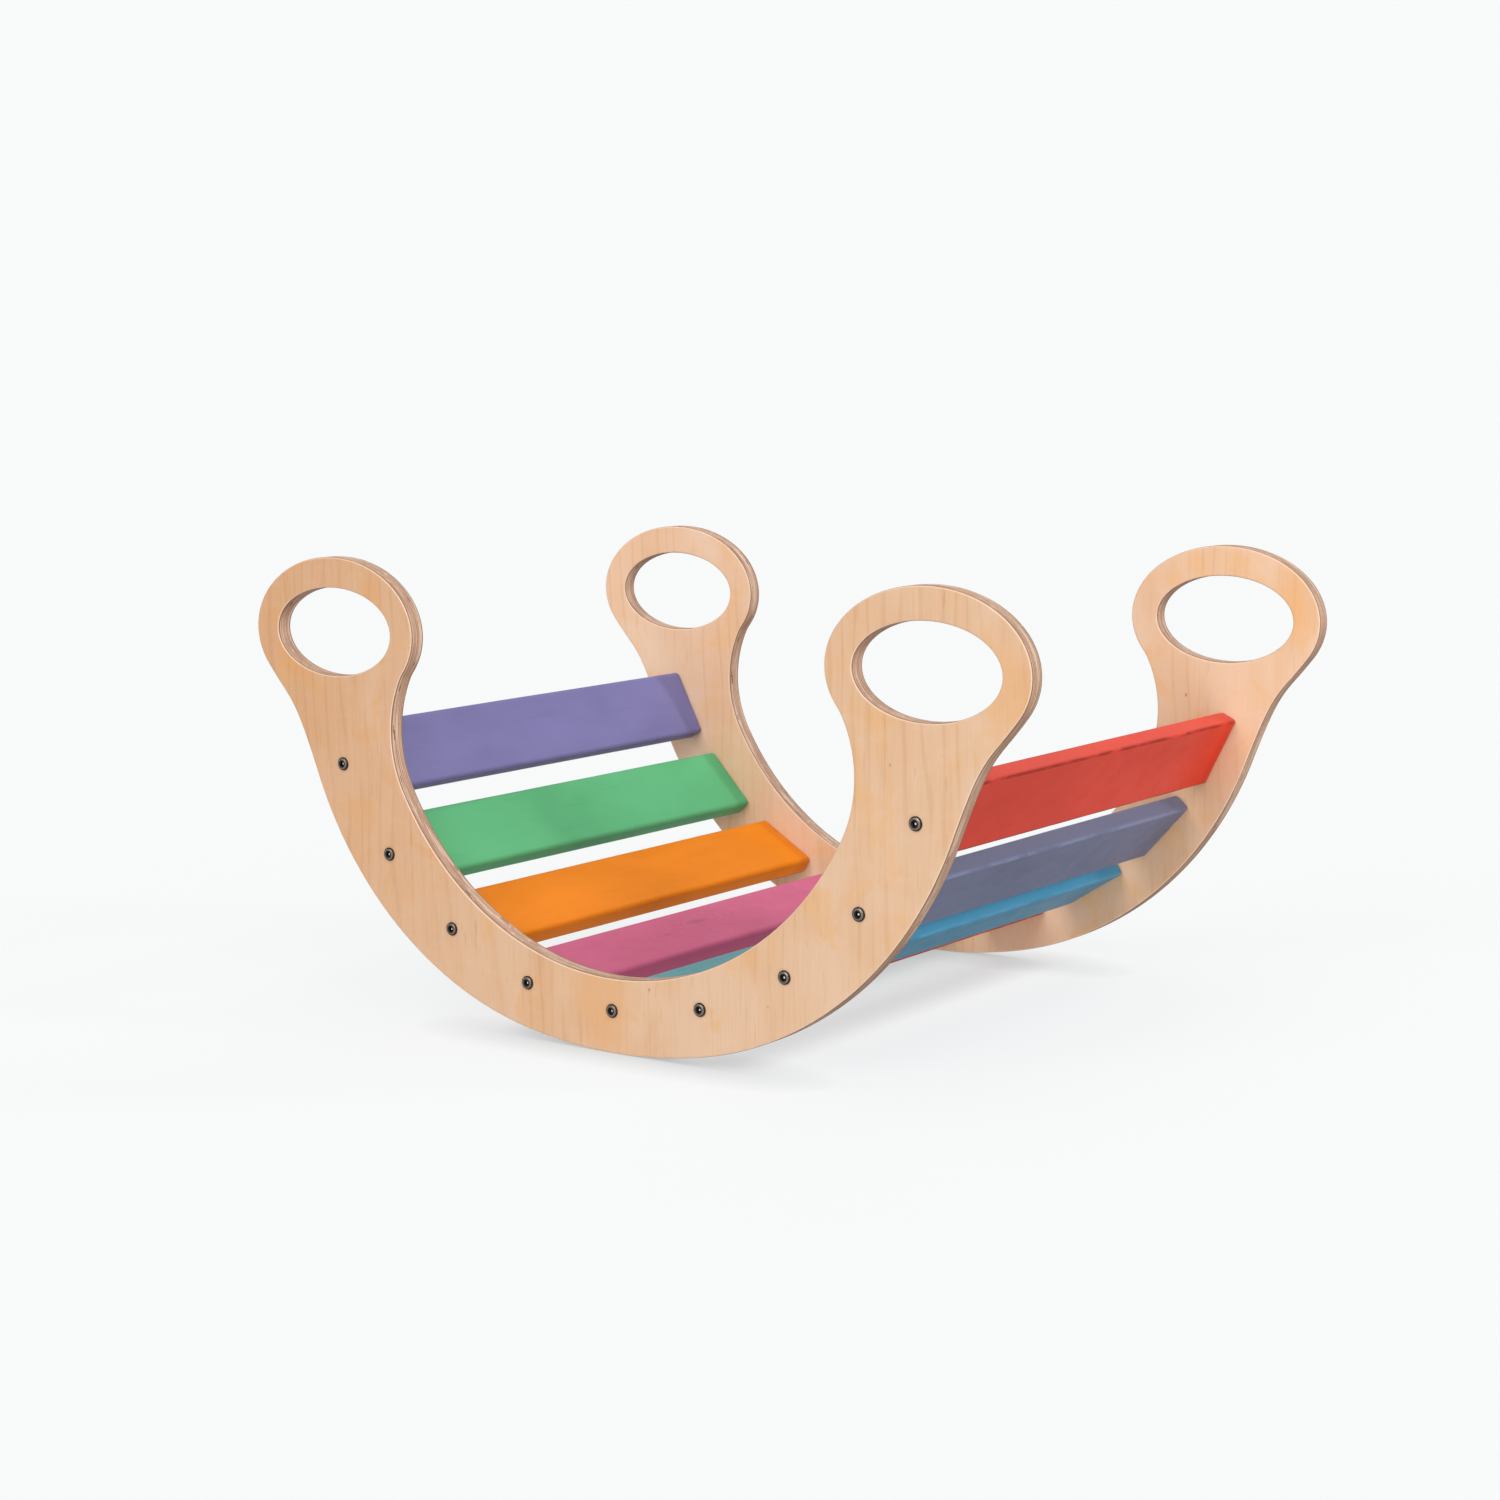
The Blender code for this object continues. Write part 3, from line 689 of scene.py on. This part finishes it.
    # painted highlight: the upper narrow side of these boards painted lighter, as light from above falls
    # on it
    if seed > LIT_NARROW_SIDE_FROM:
        narrow = g.step(x, half_width - 1.2 * MM, half_width - 0.3 * MM)
        tint = g.cover(tint, narrow, 0.6, shade(1.00, 0.022))
    chip_noise = g.noise(g.stretch(here, (1.0, 0.6, 1.0), shift), 170.0, 2.0, 0.5)
    chip = g.math("MULTIPLY", crest, g.step(chip_noise, 0.70, 0.74))
    tint = g.cover(tint, chip, 0.45, shade(0.42, 0.01))
    g.set(g.shader.inputs["Base Color"], tint)
    rough = g.remap(mottle, 0.3, 0.7, 0.33, 0.44)
    rough = g.math("ADD", rough, g.math("MULTIPLY", dent, 0.15))
    g.set(g.shader.inputs["Roughness"], rough)
    height = g.math("ADD", g.math("MULTIPLY", grain, -0.7), g.math("MULTIPLY", brush, 0.2))
    height = g.math("ADD", height, g.math("MULTIPLY", chip, -1.0))
    height = g.math("ADD", height, g.math("MULTIPLY", dent, -0.9))
    height = g.math("ADD", height, g.math("MULTIPLY", mottle, 0.5))
    if swirl is not None:
        height = g.math("ADD", height, g.math("MULTIPLY", swirl, -0.5))
    g.set(g.shader.inputs["Normal"], g.bump(height, 0.40, 0.25 * MM))
    g.shader.inputs["Specular IOR Level"].default_value = 0.10
    return g.mat


def bronze(name, seed):
    """Dark bronze plating with a lighter ring on the dome, partly rubbed and partly a painted highlight,
    painted shade in the socket and a painted glint on its floor.
    """
    g = Graph(name)
    here = g.coord.outputs["Object"]
    x, y, z = g.axes(here)
    blotch = g.noise(g.stretch(here, (1.0, 1.0, 1.0), (seed, 0, 0)), 420.0, 3.0, 0.6)
    scratch = g.noise(g.stretch(here, (1.0, 1.0, 1.0), (0, seed, 0)), 1700.0, 3.0, 0.6)
    tint = g.mix(g.step(blotch, 0.35, 0.70), (0.060, 0.047, 0.040), (0.125, 0.096, 0.078))
    radius = g.math("SQRT", g.math("ADD", g.math("MULTIPLY", x, x), g.math("MULTIPLY", z, z)))
    # a ring on the dome painted lighter, partly rubbed plating and partly a painted highlight; outside it
    # the rim's edge stays near black as painted shade
    rubbed_and_highlight_ring = g.math("MULTIPLY", g.step(radius, 4.1 * MM, 4.9 * MM), g.step(radius, 6.9 * MM, 6.2 * MM))
    tint = g.mix(0.75, tint, (0.018, 0.014, 0.012))
    tint = g.cover(tint, rubbed_and_highlight_ring, 0.85, (0.380, 0.315, 0.265))
    # painted shade: the walls of the hexagon socket painted nearly black
    inside = g.math("MULTIPLY", g.step(radius, 3.1 * MM, 2.8 * MM), g.step(y, 0.05 * MM, 0.5 * MM))
    tint = g.cover(tint, inside, 0.9, (0.006, 0.005, 0.005))
    # painted highlight: a pale, non-metal disc on the socket floor stands in for a glint
    socket_glint = g.math("MULTIPLY", g.step(radius, 1.5 * MM, 0.9 * MM), g.step(y, 2.0 * MM, 2.4 * MM))
    socket_glint = g.math("MULTIPLY", socket_glint, g.step(y, 3.2 * MM, 3.0 * MM))
    tint = g.mix(socket_glint, tint, (0.93, 0.91, 0.88))
    g.set(g.shader.inputs["Base Color"], tint)
    g.set(g.shader.inputs["Metallic"], g.remap(socket_glint, 0.0, 1.0, 0.9, 0.1))
    g.set(g.shader.inputs["Roughness"], g.remap(scratch, 0.3, 0.7, 0.24, 0.40))
    g.set(g.shader.inputs["Normal"], g.bump(blotch, 0.15, 0.1 * MM))
    return g.mat


def beech(name):
    g = Graph(name)
    here = g.coord.outputs["Object"]
    grain = g.noise(g.stretch(here, (1.0, 0.06, 1.0)), 700.0, 3.0, 0.6)
    ray = g.noise(g.stretch(here, (1.0, 0.12, 1.0)), 1800.0, 2.0, 0.6)
    tint = g.mix(g.step(grain, 0.35, 0.70), (0.620, 0.420, 0.260), (0.470, 0.290, 0.165))
    tint = g.cover(tint, g.step(ray, 0.58, 0.76), 0.5, (0.330, 0.180, 0.095))
    g.set(g.shader.inputs["Base Color"], tint)
    g.set(g.shader.inputs["Roughness"], g.remap(grain, 0.3, 0.7, 0.60, 0.75))
    g.set(g.shader.inputs["Normal"], g.bump(ray, 0.4, 0.1 * MM))
    return g.mat


def dress(obj, mat, node):
    obj.data.materials.clear()
    obj.data.materials.append(mat)
    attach(obj, "root")
    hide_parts(node)


# ------------------------------------------------------------------ the object
for number, side in enumerate(("front", "back")):
    node = "side_panel_" + side
    low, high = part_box(node)
    seed = 0.31 + 2.7 * number
    wood = birch("birch_" + side, low.y, high.y - low.y, seed, KNOTS[side], PANEL_LIGHT_RAMP[side])
    dress(panel(node), wood, node)

metal = bronze("bronze_steel", 0.4)
peg_wood = beech("beech")
for index, (colour_name, colour, spots, crest) in enumerate(PAINTS):
    number = f"{index + 1:02d}"
    node = f"slat_{number}_{colour_name}"
    slot = "paint_" + colour_name
    dress(slat(index, node), paint(slot, colour, 0.6 + index * 1.3, spots, crest), node)
    for side in ("front", "back"):
        node = f"screw_{side}_{number}"
        dress(screw(index, side, node), metal, node)
        node = f"dowel_{side}_{number}"
        dress(dowel(node), peg_wood, node)


# ------------------------------------------------------------------ stage, light and camera
PALE = (0.945, 0.955, 0.958)
AMBIENT = 0.42
GLOW = 0.84                        # share of its brightness that the floor gives off itself
DOME_RADIUS = 30.0                 # near enough to stay inside every view's far clip
FLOOR_REACH = 29.5
CONTACT_REACH = 0.07               # metres over which the floor's glow darkens close under the object, a painted contact shadow
CONTACT_DIM = 0.58
# name, azimuth and elevation in degrees, strength, angle it fills in degrees, seen in gloss
LIGHTS = (
    ("key", 30.0, 21.0, 0.92, 8.0, True),
    ("front_fill", 270.0, 29.0, 1.62, 38.0, True),
    ("right_front_fill", 315.0, 35.0, 1.05, 45.0, True),
    ("right_fill", 340.0, 15.0, 0.62, 45.0, True),
    ("top", 90.0, 84.0, 0.62, 60.0, True),
    ("back_fill", 95.0, 28.0, 0.85, 60.0, False),
)
# stands in for light thrown up by the floor
LOW_FILL = ("low_fill", 315.0, -30.0, 1.0, 70.0, True)


def studio_floor(colour):
    """Pale floor, partly self-lit so it meets the pale backdrop unseen.

    It takes the object's shadow, its glow is dimmed close under the object as a painted contact shadow,
    and it adds no light of its own under the slats.
    """
    sides = 128
    bm = bmesh.new()
    rows = []
    for radius in (0.6, 2.0, 8.0, FLOOR_REACH):
        turns = [2 * math.pi * i / sides for i in range(sides)]
        rows.append([bm.verts.new((radius * math.cos(a), radius * math.sin(a), 0.0)) for a in turns])
    bm.faces.new(rows[0])
    for a, b in zip(rows, rows[1:]):
        bridge(bm, a, b)
    obj = object_from(bm, "studio_floor")
    g = Graph("studio_floor")
    g.shader.inputs["Base Color"].default_value = (*colour, 1.0)
    g.shader.inputs["Roughness"].default_value = 1.0
    g.shader.inputs["Specular IOR Level"].default_value = 0.0
    # painted contact shadow: the floor's glow dimmed where the object closes it in from above
    open_sky = g.node("ShaderNodeAmbientOcclusion", {"Distance": CONTACT_REACH}).outputs["AO"]
    open_sky = g.math("POWER", open_sky, 1.2)
    dim = tuple(c * CONTACT_DIM for c in PALE)
    g.set(g.shader.inputs["Emission Color"], g.mix(open_sky, dim, PALE))
    g.shader.inputs["Emission Strength"].default_value = GLOW
    obj.data.materials.append(g.mat)
    obj.visible_diffuse = False
    obj.visible_glossy = False
    obj.visible_shadow = False


def sun_light(name, azimuth, elevation, strength, spread, glossy):
    """Light from far away. Returns how strongly it lights level ground."""
    data = bpy.data.lights.new(name, "SUN")
    data.energy = strength
    data.angle = math.radians(spread)
    obj = bpy.data.objects.new(name, data)
    flat = math.cos(math.radians(elevation))
    turn = math.radians(azimuth)
    height = math.sin(math.radians(elevation))
    toward = Vector((flat * math.cos(turn), flat * math.sin(turn), height))
    obj.rotation_euler = toward.to_track_quat("Z", "Y").to_euler()
    obj.visible_glossy = glossy
    bpy.context.scene.collection.objects.link(obj)
    return strength * toward.z


def backdrop():
    """Evenly lit pale dome that only the camera sees, so it adds no light of its own."""
    bm = bmesh.new()
    bmesh.ops.create_uvsphere(bm, u_segments=64, v_segments=32, radius=DOME_RADIUS)
    obj = object_from(bm, "studio_backdrop")
    g = Graph("studio_backdrop")
    g.shader.inputs["Base Color"].default_value = (0.0, 0.0, 0.0, 1.0)
    g.shader.inputs["Specular IOR Level"].default_value = 0.0
    g.shader.inputs["Emission Color"].default_value = (*PALE, 1.0)
    g.shader.inputs["Emission Strength"].default_value = 1.0
    obj.data.materials.append(g.mat)
    obj.visible_diffuse = False
    obj.visible_glossy = False
    obj.visible_transmission = False
    obj.visible_shadow = False


added = sum(sun_light(*light) for light in LIGHTS)
sun_light(*LOW_FILL)
# the floor's own colour is set so that, unshaded, it is exactly as bright as the backdrop
FLOOR_COLOUR = tuple((1.0 - GLOW) * c / (AMBIENT * c + added / math.pi) for c in PALE)
studio_floor(FLOOR_COLOUR)
backdrop()
world = bpy.data.worlds.new("studio")
bpy.context.scene.world = world
world.use_nodes = True
world.node_tree.nodes["Background"].inputs["Color"].default_value = (*PALE, 1.0)
world.node_tree.nodes["Background"].inputs["Strength"].default_value = AMBIENT

scene = bpy.context.scene
scene.view_settings.view_transform = "Standard"
scene.view_settings.look = "None"

YAW, PITCH, ROLL = math.radians(-35.55), math.radians(-8.10), math.radians(-0.50)
SENSOR, LENS = 36.0, 68.1408       # both in mm
SHIFT = (-0.0175333, 0.0046)       # as a share of the sensor
FAR_CLIP = 100.0
level = math.cos(PITCH)
forward = Vector((math.sin(YAW) * level, math.cos(YAW) * level, math.sin(PITCH)))
right = Vector((math.cos(YAW), -math.sin(YAW), 0.0))
up = right.cross(forward)
tilted = right * math.cos(ROLL) + up * math.sin(ROLL)
upright = up * math.cos(ROLL) - right * math.sin(ROLL)
camera_data = bpy.data.cameras.new("camera")
camera_data.sensor_width = SENSOR
camera_data.lens = LENS
camera_data.shift_x, camera_data.shift_y = SHIFT
camera_data.clip_end = FAR_CLIP
camera = bpy.data.objects.new("camera", camera_data)
spot = Vector((1.9475, -2.7503, 0.7726))
camera.matrix_world = Matrix((
    (tilted.x, upright.x, -forward.x, spot.x),
    (tilted.y, upright.y, -forward.y, spot.y),
    (tilted.z, upright.z, -forward.z, spot.z),
    (0.0, 0.0, 0.0, 1.0),
))
scene.collection.objects.link(camera)
scene.camera = camera
